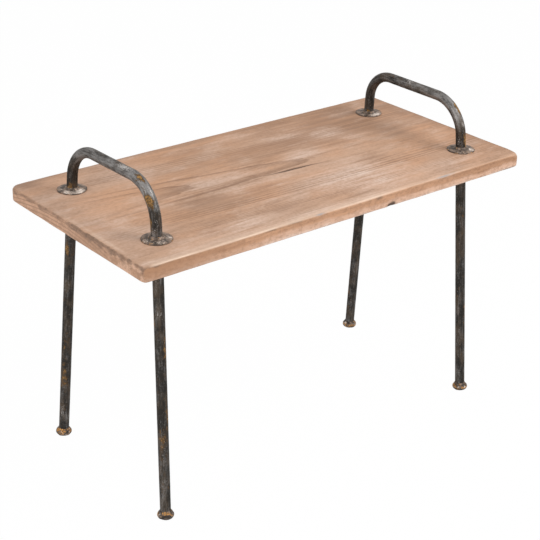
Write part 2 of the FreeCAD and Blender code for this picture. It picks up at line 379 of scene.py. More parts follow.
# The board's wood
wood = {
    # the trunk: how deep its pith lies, how far aside, and how it drifts, sways and narrows along x
    "pithDepth": 0.6,
    "pithSide": 0.0067,
    "pithDrift": 0.066,
    "sway": 0.014,
    "taper": 0.0047,
    "straightFrom": 0.1,
    "straightBlend": 0.12,
    # growth rings: the radius at the arches' tip, the step from ring to ring, and how they waver
    "tipRadius": 0.60015,
    "ringStep": 0.00089,
    "waver": 0.0004,
    "ringDraw": (0.1234, 0.05),  # gives each ring's line its own strength, from its number
    "endRings": 0.16,  # lines on the ends for each ring
    "veinBands": 9.0,  # how many veins the noise is cut into
    # the sharp lines: where one begins, is full and falls away
    "lines": {
        "ring": (0.5, 0.95, 0.96),
        "vein": (0.55, 0.95, 0.96),
        "end": (0.5, 0.92, 0.93),
    },
    # how much the lines and the veins darken the wood, and the sides' share of all that is dark
    "lineDark": 0.68,
    "veinDark": 0.22,
    "sideDark": 0.7,
    "faceCover": 0.95,  # how far the tones of the sides and ends cover the top's
    # how far noise moves the sides' and ends' change of tone, and frays the bands of the sides
    "paleBlur": 0.16,
    "endBlur": 0.06,
    "fray": (0.018, -0.012),
    "frayFleck": 0.006,
    # the ends' stain: how fast it fades inwards and down, and how ragged it is
    "stainInward": 330.0,
    "stainDown": 100.0,
    "stainRagged": 2.6,
    "gloss": 0.3,
    # height of the fibres and flecks, and depth of the lines
    "fibreRise": 0.6,
    "fleckRise": 0.6,
    "lineSink": 0.5,
    "reliefDepth": 0.0004,
    "tones": {
        "pale": (0.61, 0.378, 0.253),
        "deep": (0.30, 0.17, 0.104),
        "orange": (0.645, 0.36, 0.213),
        "brown": (0.36, 0.205, 0.126),
        "wash": (0.74, 0.56, 0.46),
        "cream": (0.92, 0.71, 0.55),
        "sideNear": (0.444, 0.238, 0.134),
        "sideFar": (0.59, 0.325, 0.19),
        # pale tone: painted floor light low on the sides, and chips on the ends
        "sideLow": (0.71, 0.455, 0.325),
        "sideLine": (0.32, 0.165, 0.093),
        "fuzz": (0.84, 0.69, 0.6),
        "endNear": (0.43, 0.25, 0.16),
        "endFar": (0.53, 0.315, 0.207),
        "endLine": (0.27, 0.155, 0.098),
        "stain": (0.135, 0.085, 0.058),
        "smudgeAndShadow": (0.27, 0.16, 0.105),
        "crack": (0.06, 0.034, 0.021),
        "grey": (0.33, 0.33, 0.34),
    },
    # noises: spots a metre along x, y and z, detail and roughness
    "grain": {
        "sway": ((2.4, 10, 10), 2.0, 0.5),
        "waver": ((14, 90, 90), 3.0, 0.5),
        "fibre": ((22, 620, 620), 3.0, 0.6),
        "streak": ((9, 95, 95), 3.0, 0.55),
        "cloud": ((8, 18, 18), 4.0, 0.6),
        "fleck": ((170, 260, 260), 4.0, 0.65),
        "vein": ((1.6, 48, 48), 2.0, 0.4),
        "warm": ((7, 16, 16), 3.0, 0.5),
        "thin": ((12, 26, 26), 5.0, 0.6),
        "fray": ((20, 3, 3), 4.0, 0.65),
        "nick": ((16, 2, 2), 3.0, 0.5),
        "below": ((24, 3, 3), 4.0, 0.6),
        "endPatch": ((20, 45, 120), 4.0, 0.6),
        "flake": ((60, 70, 110), 3.0, 0.6),
        "blotch": ((90, 60, 150), 4.0, 0.65),
    },
    # soft steps: from, to, and what they give before and after; those named for a noise go by its level
    "steps": {
        "ringStrength": (0.2, 0.9, 0.1, 0.85),
        "clear": (-0.32, -0.17, 0.25, 1.0),
        "veinCloud": (0.35, 0.6, 0.2, 1.0),
        "streakDark": (0.4, 0.72, 0.0, 0.15),
        "cloudDark": (0.4, 0.68, 0.0, 0.3),
        "fibreDark": (0.4, 0.72, 0.0, 0.2),
        "fleckDark": (0.42, 0.66, 0.0, 0.18),
        "warm": (0.4, 0.64),
        "brownStreak": (0.3, 0.65, 0.4, 0.9),
        "thin": (0.48, 0.66, 0.0, 0.4),
        "washStreak": (0.38, 0.66, 1.0, 0.6),
        "washFleck": (0.35, 0.6, 1.0, 0.6),
        "washLines": (0.0, 0.8, 1.0, 0.5),
        "rightward": (-0.22, -0.06),
        "darkRight": (0.12, 0.3, 0.0, 0.8),
        "lowBand": (0.008, 0.014),
        "lowRight": (0.0, 1.0, 0.15, 0.9),
        "furBand": (0.016, 0.021),
        "furRight": (0.0, 1.0, 0.15, 0.5),
        "below": (0.5, 0.6),
        "belowBand": (0.0188, 0.0205, 0.0, 0.75),
        "belowRight": (-0.02, 0.06),
        "nick": (0.55, 0.64),
        "nickBand": (0.002, 0.004, 0.7, 0.0),
        "sideFleck": (0.45, 0.64, 0.0, 0.4),
        "endClear": (-0.15, -0.04, 0.15, 0.9),
        "endBack": (-0.01, 0.05),
        "endPatch": (0.4, 0.68, 0.0, 0.6),
        "endFleck": (0.42, 0.66, 0.0, 0.5),
        "flake": (0.46, 0.56),
        "flakeBack": (-0.13, -0.06, 0.55, 0.0),
        "stainBack": (-0.06, 0.05, 0.0, 0.3),
        "stainRight": (0.3, 0.35, 0.0, -0.35),
        "stainEdge": (1.75, 2.35, 1.0, 0.0),
        "stainFleck": (0.35, 0.6, 0.85, 0.5),
        "rubbedAndLitStreak": (0.35, 0.6, 0.95, 0.55),
        "smudgeAndShadowStreak": (0.3, 0.65, 0.45, 0.9),
        "roughness": (0.0, 1.0, 0.62, 0.78),
    },
}


def boardWood():
    finish, tree, shader = newFinish("boardWood")
    tones = wood["tones"]
    steps = wood["steps"]
    place = objectPlace(tree)
    split = tree.nodes.new("ShaderNodeSeparateXYZ")
    feed(split.inputs[0], place)
    x, y, z = (split.outputs[axis] for axis in "XYZ")
    grain = {name: mottle(place, *size) for name, size in wood["grain"].items()}
    fibre, streak, cloud, fleck = (grain[name] for name in ("fibre", "streak", "cloud", "fleck"))
    # Growth rings round a pith far below: the trunk narrows to the left, which makes arches
    run = maths("SMOOTH_MIN", x, wood["straightFrom"], wood["straightBlend"])
    sway = timesPlus(grain["sway"], wood["sway"], -wood["sway"] / 2 - wood["pithSide"])
    across = maths("ADD", y, timesPlus(run, wood["pithDrift"], sway))
    height = maths("SUBTRACT", z, boardHigh.z - wood["pithDepth"])
    squares = maths("ADD", maths("POWER", across, 2.0), maths("POWER", height, 2.0))
    radius = timesPlus(run, wood["taper"], maths("SQRT", squares))
    waver = timesPlus(grain["waver"], wood["waver"], -wood["waver"] / 2 - wood["tipRadius"])
    ring = maths("DIVIDE", maths("ADD", radius, waver), wood["ringStep"])
    strength = maths("FRACT", timesPlus(maths("FLOOR", ring), *wood["ringDraw"]))
    late = sharpBand(maths("FRACT", ring), *wood["lines"]["ring"])
    clear = ease(x, *steps["clear"])
    lines = times(late, ease(strength, *steps["ringStrength"]), clear)
    # Fibres and thin veins run along the board; flecks are as wide as they are long
    vein = sharpBand(maths("FRACT", times(grain["vein"], wood["veinBands"])), *wood["lines"]["vein"])
    vein = times(vein, clear, ease(cloud, *steps["veinCloud"]))
    dark = times(ease(streak, *steps["streakDark"]), clear)
    dark = timesPlus(lines, wood["lineDark"], dark)
    dark = timesPlus(vein, wood["veinDark"], dark)
    for name in ("cloud", "fibre", "fleck"):
        dark = maths("ADD", dark, ease(grain[name], *steps[f"{name}Dark"]))
    warm = ease(grain["warm"], *steps["warm"])
    # Browner places, then the pale wash, on the top only
    browned = times(field(tree, "browned"), ease(streak, *steps["brownStreak"]))
    washed = times(
        maths("ADD", field(tree, "paleSpot"), ease(grain["thin"], *steps["thin"])),
        ease(streak, *steps["washStreak"]),
        ease(fleck, *steps["washFleck"]),
        ease(maths("MAXIMUM", lines, vein), *steps["washLines"]),
        field(tree, "topFace"),
    )
    # Front and back: orange brown, paler and furry towards the lower edge away from the left end; the paler
    # band is painted light from the floor below
    deep = maths("SUBTRACT", boardHigh.z, z)
    fray = timesPlus(fleck, wood["frayFleck"], timesPlus(grain["fray"], *wood["fray"]))
    frayed = maths("ADD", deep, fray)
    rightward = ease(timesPlus(cloud, wood["paleBlur"], x), *steps["rightward"])
    # the paler band low on the sides is painted light thrown up from the floor
    lower = times(ease(frayed, *steps["lowBand"]), ease(rightward, *steps["lowRight"]))
    furry = times(ease(frayed, *steps["furBand"]), ease(rightward, *steps["furRight"]))
    below = times(ease(grain["below"], *steps["below"]), ease(deep, *steps["belowBand"]))
    below = times(below, ease(x, *steps["belowRight"]))
    nicked = times(ease(grain["nick"], *steps["nick"]), ease(frayed, *steps["nickBand"]))
    sideTone = layered(
        tones["sideNear"],
        (rightward, tones["sideFar"]),
        (ease(x, *steps["darkRight"]), tones["sideNear"]),
        (times(dark, wood["sideDark"]), tones["sideLine"]),
        (lower, tones["sideLow"]),
        (furry, tones["fuzz"]),
        (ease(fleck, *steps["sideFleck"]), tones["sideLine"]),
        (below, tones["stain"]),
        (nicked, tones["stain"]),
    )
    # Ends: ring lines that fade towards the front, and pale chips there
    endLines = sharpBand(maths("FRACT", times(ring, wood["endRings"])), *wood["lines"]["end"])
    endLines = times(endLines, ease(y, *steps["endClear"]))
    backward = timesPlus(grain["endPatch"], wood["endBlur"], y)
    flaked = times(ease(grain["flake"], *steps["flake"]), ease(y, *steps["flakeBack"]))
    endTone = layered(
        tones["endNear"],
        (ease(backward, *steps["endBack"]), tones["endFar"]),
        (ease(grain["endPatch"], *steps["endPatch"]), tones["endLine"]),
        (endLines, tones["endLine"]),
        (flaked, tones["sideLow"]),
        (ease(fleck, *steps["endFleck"]), tones["endLine"]),
    )
    # A dark ragged stain below the top edge of the ends, widest near the front
    inward = maths("SUBTRACT", boardHigh.x, maths("ABSOLUTE", x))
    away = timesPlus(inward, wood["stainInward"], times(deep, wood["stainDown"]))
    away = timesPlus(grain["blotch"], wood["stainRagged"], away)
    away = maths("ADD", away, ease(y, *steps["stainBack"]))
    away = maths("ADD", away, ease(x, *steps["stainRight"]))
    stained = times(ease(away, *steps["stainEdge"]), ease(fleck, *steps["stainFleck"]))
    # pale rubbed lines, the front one also a painted highlight on the rounded edge
    rubbedAndLit = times(field(tree, "lightEdge"), ease(streak, *steps["rubbedAndLitStreak"]))
    # smudges on the top, with the right handle's painted shadow among them
    smudgedAndShaded = times(field(tree, "smudgeAndShadow"), ease(streak, *steps["smudgeAndShadowStreak"]))
    colour = layered(
        tones["pale"],
        (warm, tones["orange"]),
        (dark, tones["deep"]),
        (browned, tones["brown"]),
        (washed, tones["wash"]),
        (times(field(tree, "sideFace"), wood["faceCover"]), sideTone),
        (times(field(tree, "endFace"), wood["faceCover"]), endTone),
        (stained, tones["stain"]),
        (rubbedAndLit, tones["cream"]),
        (field(tree, "greyed"), tones["grey"]),
        (smudgedAndShaded, tones["smudgeAndShadow"]),
        (field(tree, "crackShade"), tones["crack"]),
    )
    feed(shader.inputs["Base Color"], colour)
    feed(shader.inputs["Roughness"], ease(dark, *steps["roughness"]))
    feed(shader.inputs["Specular IOR Level"], wood["gloss"])
    rise = maths("SUBTRACT", times(fibre, wood["fibreRise"]), times(lines, wood["lineSink"]))
    relief(shader, timesPlus(fleck, wood["fleckRise"], rise), wood["reliefDepth"])
    return finish


def gridLines(low, high, step, fineStretch):
    edge = np.array(board["edgeLines"])
    start, end, fineStep = fineStretch
    inner = np.linspace(low + edge[-1], high - edge[-1], 2 + round((high - low) / step))[1:-1]
    inner = inner[(inner < start) | (inner > end)]
    return np.sort(np.concatenate([low + edge, inner, np.arange(start, end, fineStep), high - edge]))


def spots(x, y, marks):
    total = np.zeros_like(x)
    for markX, markY, halfLength, halfWidth, strength in marks:
        total += strength * hump(x - markX, halfLength) * hump(y - markY, halfWidth)
    return np.clip(total, 0, 1)


def boardShell():
    xs = gridLines(boardLow.x, boardHigh.x, board["spacing"][0], board["fineStretches"][0])
    ys = gridLines(boardLow.y, boardHigh.y, board["spacing"][1], board["fineStretches"][1])
    edge = np.array(board["edgeLines"])
    between = np.linspace(edge[-1], boardThickness - edge[-1], board["sideRows"])[1:-1]
    levels = np.concatenate([edge, between, boardThickness - edge[::-1]])
    across, along = np.meshgrid(xs, ys, indexing="ij")
    top, under = (
        np.stack([across, along, np.full_like(across, face)], axis=-1).reshape(-1, 3)
        for face in (boardHigh.z, boardLow.z)
    )
    index = np.arange(across.size).reshape(across.shape)
    loop = np.concatenate([index[:, 0], index[-1, 1:], index[-2::-1, -1], index[0, -2:0:-1]])
    walls = [top[loop] - (0, 0, level) for level in levels[1:-1]]
    points = np.concatenate([top, under, *walls])
    quads = np.stack([index[:-1, :-1], index[1:, :-1], index[1:, 1:], index[:-1, 1:]], axis=-1)
    quads = quads.reshape(-1, 4)
    wallRows = 2 * index.size + np.arange(len(walls) * len(loop)).reshape(len(walls), -1)
    rows = [loop, *wallRows, loop + index.size]
    sides = [np.stack([a, np.roll(a, -1), np.roll(b, -1), b], axis=-1) for a, b in zip(rows, rows[1:])]
    faces = np.concatenate([quads, quads + index.size, *sides])
    return points, faces.tolist()


def easeEdges(points):
    # Round the plan's corners, then the top and bottom edges; gives the moved points and the way out
    x, y, z = points.T
    insetX = boardHalf.x - np.abs(x)
    insetY = boardHalf.y - np.abs(y)
    inset = np.minimum(insetX, insetY)
    cornerRound = np.zeros_like(x)
    for end, side, radius in board["cornerRounds"]:
        cornerRound[(x * end >= 0) & (y * side >= 0)] = radius
    pastX = np.maximum(cornerRound - insetX, 0)
    pastY = np.maximum(cornerRound - insetY, 0)
    past = np.maximum(np.hypot(pastX, pastY), nearNothing)
    inCorner = (pastX > 0) & (pastY > 0)
    scale = np.where(inCorner, np.maximum(pastX, pastY) / past, 1)
    planX = np.where(inCorner, np.sign(x) * (boardHalf.x - cornerRound + pastX * scale), x)
    planY = np.where(inCorner, np.sign(y) * (boardHalf.y - cornerRound + pastY * scale), y)
    outX = np.sign(x) * np.where(inCorner, pastX / past, insetX <= insetY)
    outY = np.sign(y) * np.where(inCorner, pastY / past, insetX > insetY)
    moved = np.stack([planX, planY, z], axis=-1)
    out = np.stack([outX, outY, np.zeros_like(z)], axis=-1)
    edges = ((1, boardHigh.z, 1), (-1, boardLow.z, board["lowerCornerWear"]))
    for seed, (direction, face, wearShare) in zip(board["wearSeeds"], edges):
        depth = direction * (face - z)
        flat = (depth < nearNothing) & (inset > 0)
        onFace = np.stack([planX, planY, np.full_like(z, face)], axis=-1)
        wear = unevenness(onFace, board["wearLength"], seed)
        curve = board["edgeRound"] + board["endRound"] * np.abs(outX) + board["edgeWear"] * wear
        for end, cornerSide, added, reach in board["cornerWear"]:
            apart = np.hypot(x - end * boardHalf.x, y - cornerSide * boardHalf.y)
            curve += added * wearShare * hump(apart, reach)
        side = np.maximum(curve - inset, 0)
        rise = np.maximum(curve - depth, 0)
        turn = np.maximum(np.hypot(side, rise), nearNothing)
        rounded = (side > 0) & (rise > 0)
        share = np.where(rounded, np.maximum(side, rise) / turn, 1)
        moved[:, :2] -= out[:, :2] * (side * (1 - share) * rounded)[:, None]
        moved[:, 2] -= direction * rise * (1 - share) * rounded
        out[flat & ~rounded] = (0, 0, direction)
        tilted = np.stack([out[:, 0] * side, out[:, 1] * side, direction * rise], axis=-1) / turn[:, None]
        out[rounded] = tilted[rounded]
    return moved, out


def boreStudHoles(piece, finish):
    cutters = []
    for corner in corners.values():
        lean = -math.hypot(corner["down"].x, corner["down"].y) / corner["down"].z
        seat = -boardThickness / corner["down"].z - board["seatRadius"] * lean - board["seatDepth"]
        depths = (-boardThickness, seat, seat, seat + boardThickness)
        radii = (board["holeRadius"], board["holeRadius"], board["seatRadius"], board["seatRadius"])
        rings = turnedRings(corner, depths, radii, board["holeSides"])
        faces = ringFaces(len(rings), board["holeSides"], capped=True)
        cutter = addObject("studDrill", shellMesh("studDrill", rings, faces, finish))
        cut = piece.modifiers.new("studHole", "BOOLEAN")
        cut.operation = "DIFFERENCE"
        cut.solver = "EXACT"
        cut.object = cutter
        cutters.append(cutter)
    bored = bpy.data.meshes.new_from_object(piece.evaluated_get(bpy.context.evaluated_depsgraph_get()))
    piece.modifiers.clear()
    plain = piece.data
    piece.data = bored
    for mesh in (plain, *(cutter.data for cutter in cutters)):
        bpy.data.meshes.remove(mesh)


def buildBoard():
    finish = boardWood()
    points, faces = boardShell()
    moved, out = easeEdges(points)
    x, y, z = moved.T
    topFace = np.clip(out[:, 2], 0, 1)
    onTop = out[:, 2] > board["flatTop"]
    sink = board["planing"] * (1 + unevenness(moved, board["planingSize"], board["planingSeed"]))
    # The crack narrows where it is shallow, and stains the wood beside it
    aside = y - np.interp(x, *np.transpose(board["crackPath"]))
    crackDeep = np.interp(x, *np.transpose(board["crackDepth"]))
    crackHalf = board["crackHalf"] * (board["crackNarrow"] + crackDeep / board["crackDeepest"])
    sink += crackDeep * hump(aside, crackHalf) * onTop
    shadeWidth, shadeDepth = board["crackShade"]
    crackShade = np.clip(crackDeep / shadeDepth, 0, 1) * hump(aside, crackHalf * shadeWidth) * onTop
    brownHalf, brownDepth, brownMost = board["crackBrown"]
    crackBrown = np.clip(crackDeep / brownDepth, 0, brownMost) * hump(aside, brownHalf)
    knotShade = np.zeros_like(x)
    for kind in ("dents", "knots"):
        for dentX, dentY, dentZ, radius, depth in board[kind]:
            hollow = hump(np.linalg.norm(moved - (dentX, dentY, dentZ), axis=1), radius)
            sink += depth * hollow
            knotShade += hollow * (kind == "knots")
    arrisHalf, arrisDark = board["arris"]
    arris = arrisDark * hump(np.hypot(x - boardLow.x, y - boardLow.y), arrisHalf)
    # Pale rubbed lines along the front's top edge and just inside the left end; the one along the front edge
    # is also a painted highlight
    lineHalf, hazeHalf, haze = board["frontLine"]
    frontLine = hump(y - boardLow.y, lineHalf) + haze * hump(y - boardLow.y, hazeHalf)
    frontLine *= topFace * np.interp(x, *np.transpose(board["frontLineShares"]))
    endInset, endHalf, endStrength = board["endLine"]
    endLine = endStrength * hump(x - boardLow.x - endInset, endHalf)
    endLine *= topFace * np.interp(y, *np.transpose(board["endLineShares"]))
    fields = {
        "topFace": topFace,
        "sideFace": np.abs(out[:, 1]),
        "endFace": np.abs(out[:, 0]),
        "lightEdge": np.clip(frontLine + endLine, 0, 1),
        "smudgeAndShadow": np.clip((spots(x, y, board["smudgesAndShadow"]) + crackBrown) * topFace + arris, 0, 1),
        "greyed": spots(x, y, board["greyed"]) * hump(boardHigh.z - z, board["edgeRound"]),
        "browned": spots(x, y, board["browned"]) * topFace,
        "paleSpot": spots(x, y, board["paleSpots"]),
        "crackShade": np.clip(crackShade + board["knotDark"] * knotShade, 0, board["darkest"]),
    }
    sunk = moved - out * sink[:, None]
    piece = makePiece("trayBoard", sunk, faces, finish, "tray", "tray_board", fields,
                      board["sharpAngle"])
    boreStudHoles(piece, finish)
    print("board:", len(piece.data.vertices), "points")


buildBoard()


# Steel tube of the handles and legs: dark, hammered, rubbed bare in places and rusted in patches
tube = {
    "radius": 0.008,
    "wall": 0.002,
    "sides": 40,
    "step": 0.0025,
    "hammer": 0.00006,
    "hammerSize": 0.0065,
    "wave": 0.00007,
    "waveSize": 0.03,
    "flowShift": 0.1,  # how far apart the noises of two tubes start, for each step of the seed
    "squash": 0.035,  # how much a handle flattens in its bends
    "handleStart": 0.0037,  # a handle's end stands on its washer, inside the weld
}
darkSteelLook = {
    # how much the fields and noises add to each layer
    "wornPatch": (1.1, 0.06),
    "bareGrain": 0.5,
    "bareStreak": 0.55,
    "rustField": 0.3,
    "scuffField": 0.24,
    "metal": (-0.5, 0.6),  # what rust adds, and clean steel
    "rustRoughness": 0.3,
    "speckRise": 0.3,
    "reliefDepth": 0.0005,
    "tones": {
        "dark": (0.027, 0.024, 0.021),
        "aged": (0.07, 0.053, 0.039),
        "bare": (0.25, 0.238, 0.23),
        "scuff": (0.62, 0.58, 0.55),
        "rust": (0.46, 0.25, 0.075),
        "rustDeep": (0.10, 0.058, 0.027),
        "edge": (0.3, 0.29, 0.28),
    },
    # noises: spots a metre along and across the tube, detail and roughness
    "grain": {
        "grain": ((380, 520, 520), 4.0, 0.65),
        "patch": ((55, 100, 100), 3.0, 0.55),
        "streak": ((30, 380, 380), 3.0, 0.6),
        "speck": ((900, 1100, 1100), 2.0, 0.5),
        "age": ((40, 85, 85), 3.0, 0.6),
        "rust": ((130, 200, 200), 4.0, 0.65),
    },
    # soft steps: from, to, and what they give before and after
    "steps": {
        "aged": (0.42, 0.66),
        "bare": (0.66, 1.12),
        "rusted": (0.62, 0.76),
        "golden": (0.73, 0.85),
        "goldenGrain": (0.42, 0.62),
        "scuffed": (0.7, 0.76, 0.0, 0.85),
        "roughness": (0.0, 1.0, 0.52, 0.38),
    },
}


def darkSteel():
    finish, tree, shader = newFinish("darkSteel")
    look = darkSteelLook
    tones = look["tones"]
    steps = look["steps"]
    flow = field(tree, "flow", "Vector")
    grain, patch, streak, speck, age, rusty = (mottle(flow, *size) for size in look["grain"].values())
    blotchy = times(patch, timesPlus(field(tree, "worn"), *look["wornPatch"]))
    bare = timesPlus(grain, look["bareGrain"], blotchy)
    bare = ease(timesPlus(streak, look["bareStreak"], bare), *steps["bare"])
    thick = timesPlus(field(tree, "rust"), look["rustField"], rusty)
    rusted = ease(thick, *steps["rusted"])
    golden = times(ease(thick, *steps["golden"]), ease(grain, *steps["goldenGrain"]))
    scuffed = ease(timesPlus(field(tree, "scuff"), look["scuffField"], speck), *steps["scuffed"])
    colour = layered(
        tones["dark"],
        (ease(age, *steps["aged"]), tones["aged"]),
        (bare, tones["bare"]),
        (rusted, tint(golden, tones["rustDeep"], tones["rust"])),
        (scuffed, tones["scuff"]),
    )
    rough = timesPlus(rusted, look["rustRoughness"], ease(bare, *steps["roughness"]))
    feed(shader.inputs["Base Color"], colour)
    feed(shader.inputs["Metallic"], timesPlus(rusted, *look["metal"]))
    feed(shader.inputs["Specular Tint"], (*tones["edge"], 1.0))
    feed(shader.inputs["Roughness"], rough)
    relief(shader, timesPlus(speck, look["speckRise"], grain), look["reliefDepth"])
    return finish


def markField(along, marks):  # soft spots on a tube: along, turn, length, width and strength
    cosTurn, sinTurn = roundTurn(tube["sides"])
    total = np.zeros((len(along), tube["sides"]))
    for markAlong, markTurn, length, width, strength in marks:
        swing = np.arctan2(sinTurn, cosTurn) - math.radians(markTurn)
        swing = np.abs((swing + math.pi) % (2 * math.pi) - math.pi) * tube["radius"]
        total += strength * hump(along[:, None] - markAlong, length) * hump(swing, width)
    return total


def tubeShell(centres, across, forward, along, looks, seed, squeeze=None):
    # Rings outside, then back along the bore; across and forward are directions at each ring
    cosTurn, sinTurn = roundTurn(tube["sides"])
    flow = np.broadcast_arrays(along[:, None], tube["radius"] * cosTurn, tube["radius"] * sinTurn)
    flow = np.stack(flow, axis=-1)
    hollow = tube["hammer"] * (1 + unevenness(flow, tube["hammerSize"], seed))
    hollow = hollow + tube["wave"] * (1 + unevenness(flow, tube["waveSize"], seed + 1))
    outer = tube["radius"] - hollow
    inner = np.full_like(outer, tube["radius"] - tube["wall"])
    narrow = np.ones(len(along)) if squeeze is None else 1 - squeeze
    rings = []
    for radii in (outer, inner):
        sideways = (radii * cosTurn * narrow[:, None])[..., None] * across[:, None, :]
        rings.append(centres[:, None, :] + sideways + (radii * sinTurn)[..., None] * forward[:, None, :])
    points = np.concatenate([rings[0], rings[1][::-1]])
    worn = np.interp(along / along[-1], *np.transpose(looks["worn"]))
    fields = {
        "flow": flow + (0, 0, seed * tube["flowShift"]),
        "worn": np.broadcast_to(worn[:, None], outer.shape),
        "rust": markField(along, looks["rust"]),
        "scuff": markField(along, looks["scuff"]),
    }
    fields = {name: np.concatenate([values, values[::-1]]) for name, values in fields.items()}
    return points, ringFaces(len(points), tube["sides"], closed=True), fields


# Handles: straight is how far each post runs up its axis before the bend, tip is how far the bar is knocked
# sideways, and tilt lowers it, all over and more towards the back. Worn goes along the tube from 0 to 1.
# Rust and scuffs are along, turn, length, width and strength
handles = {
    "left_handle": {
        "posts": ("front_left", "back_left"),
        "rise": 0.073,
        "straight": (0.02101, 0.02001),
        "tip": -0.0016,
        "tilt": (0.0004, 0.0014),
        "worn": ((0, 0.45), (0.1, 0.4), (0.2, 0.75), (0.45, 0.6), (0.75, 0.7), (0.88, 0.3), (1, 0.2)),
        "rust": (
            (0.081, 345, 0.009, 0.005, 1.5), (0.049, 303, 0.011, 0.006, 1.4),
            (0.118, 20, 0.01, 0.004, 0.8), (0.298, 215, 0.012, 0.006, 0.6),
            (0.302, 262, 0.010, 0.005, 1.0), (0.020, 255, 0.012, 0.004, 0.9),
            (0.006, 35, 0.008, 0.003, 0.7),
        ),
        "scuff": (
            (0.118, 330, 0.012, 0.006, 1.0), (0.105, 350, 0.012, 0.004, 0.7),
            (0.036, 40, 0.012, 0.004, 0.6), (0.006, 280, 0.006, 0.005, 0.45),
            (0.02, 320, 0.012, 0.004, 0.35), (0.307, 230, 0.005, 0.005, 0.5),
        ),
        "seed": 11,
    },
    "right_handle": {
        "posts": ("front_right", "back_right"),
        "rise": 0.0745,
        "straight": (0.02301, 0.03001),
        "tip": 0.0,
        "tilt": (0.0, 0.0),
        "worn": (
            (0, 0.25), (0.08, 0.25), (0.16, 0.6), (0.3, 0.75),
            (0.6, 0.45), (0.8, 0.5), (0.9, 0.35), (1, 0.35),
        ),
        "rust": (
            (0.062, 15, 0.014, 0.004, 1.2), (0.02, 15, 0.014, 0.004, 1.1),
            (0.012, 290, 0.01, 0.006, 0.5), (0.2, 340, 0.01, 0.004, 0.6),
            (0.008, 40, 0.012, 0.004, 1.3), (0.228, 25, 0.012, 0.003, 1.2),
            (0.306, 235, 0.010, 0.007, 0.7),
        ),
        "scuff": (
            (0.16, 340, 0.009, 0.006, 0.9), (0.036, 5, 0.004, 0.003, 1.0), (0.012, 290, 0.007, 0.003, 0.7),
        ),
        "seed": 21,
    },
}


def handleLine(size):
    # Places in the handle's own plane: y along the board's width, and up along the posts' lean
    front = corners[size["posts"][0]]
    upright = Vector((-front["down"].x, 0, -front["down"].z)).normalized()
    lean = math.acos(-front["down"].dot(upright))
    spans = []
    bends = []
    for side, straight in zip((-1, 1), size["straight"]):
        base = np.array((side * abs(front["top"].y), 0.0))
        climb = np.array((-side * math.sin(lean), math.cos(lean)))
        low = base + climb * straight
        radius = (size["rise"] - low[1]) / (1 - math.sin(lean))
        middle = np.array((low[0] - side * radius * math.cos(lean), size["rise"] - radius))
        turn = np.linspace(lean, math.pi / 2, 2 + round(radius * (math.pi / 2 - lean) / tube["step"]))
        bend = middle + radius * np.stack([side * np.cos(turn), np.sin(turn)], axis=-1)
        rungs = np.linspace(tube["handleStart"], straight, 2 + round(straight / tube["step"]))[:-1]
        post = base + climb * rungs[:, None]
        spans.append(np.concatenate([post, bend]))
        bends.append(np.concatenate([np.zeros(len(post)), np.sin(np.linspace(0, math.pi, len(bend)))]))
    barCount = 2 + round(abs(spans[1][-1, 0] - spans[0][-1, 0]) / tube["step"])
    bar = np.linspace(spans[0][-1], spans[1][-1], barCount)[1:-1]
    line = np.concatenate([spans[0], bar, spans[1][::-1]])
    squeeze = np.concatenate([bends[0], np.zeros(len(bar)), bends[1][::-1]]) * tube["squash"]
    origin = np.array((front["top"].x, 0, front["top"].z))
    centres = origin + line[:, :1] * np.array((0, 1, 0)) + line[:, 1:] * np.array(upright)
    raised = np.clip(line[:, 1] / size["rise"], 0, 1)
    backward = line[:, 0] / abs(front["top"].y)
    centres[:, 0] += size["tip"] * raised
    centres[:, 2] -= (size["tilt"][0] + size["tilt"][1] * backward) * raised
    return centres, np.cross((0, 1, 0), np.array(upright)), squeeze


def buildHandles(finish):
    for node, size in handles.items():
        centres, sideways, squeeze = handleLine(size)
        heading = np.gradient(centres, axis=0)
        heading /= np.linalg.norm(heading, axis=1)[:, None]
        forward = np.broadcast_to(sideways, centres.shape)
        across = np.cross(forward, heading)
        along = np.concatenate([[0], np.cumsum(np.linalg.norm(np.diff(centres, axis=0), axis=1))])
        points, faces, fields = tubeShell(centres, across, forward, along, size, size["seed"], squeeze)
        name = node.replace("_handle", "Handle")
        makePiece(name, points, faces, finish, "tray", node, fields)
    print("handles:", len(handles))


# Legs: worn, rust and scuffs as on the handles; all four share their wear and a brown cast
legs = {
    "worn": ((0, 0.25), (0.15, 0.3), (0.6, 0.25), (1, 0.35)),
    "brown": (0.25, 130, 0.3, 0.03, 0.1),
    "seeds": (93, 96, 99, 102),
    "rust": {
        "front_left": (
            (0.3, 130, 0.018, 0.006, 0.55), (0.118, 195, 0.012, 0.003, 0.9), (0.16, 65, 0.03, 0.003, 0.8),
            (0.265, 65, 0.03, 0.003, 0.8), (0.375, 130, 0.012, 0.006, 0.4),
        ),
        "front_right": ((0.28, 64, 0.03, 0.003, 0.8), (0.12, 200, 0.015, 0.004, 0.4)),
        "back_left": (
            (0.313, 135, 0.02, 0.006, 0.9), (0.253, 150, 0.02, 0.006, 0.4),
            (0.092, 165, 0.012, 0.003, 0.8), (0.1, 120, 0.02, 0.006, 0.4),
        ),
        "back_right": ((0.35, 200, 0.02, 0.004, 0.6), (0.18, 60, 0.015, 0.004, 0.4)),
    },
    "scuff": {
        "front_left": (
            (0.105, 108, 0.0018, 0.0018, 1.2), (0.105, 142, 0.0018, 0.0018, 1.2),
            (0.31, 130, 0.02, 0.006, 0.3),
        ),
        "front_right": ((0.045, 110, 0.01, 0.003, 0.5),),
        "back_left": ((0.052, 135, 0.01, 0.004, 1.0), (0.38, 150, 0.015, 0.004, 0.7)),
        "back_right": ((0.04, 130, 0.01, 0.003, 0.4),),
    },
}


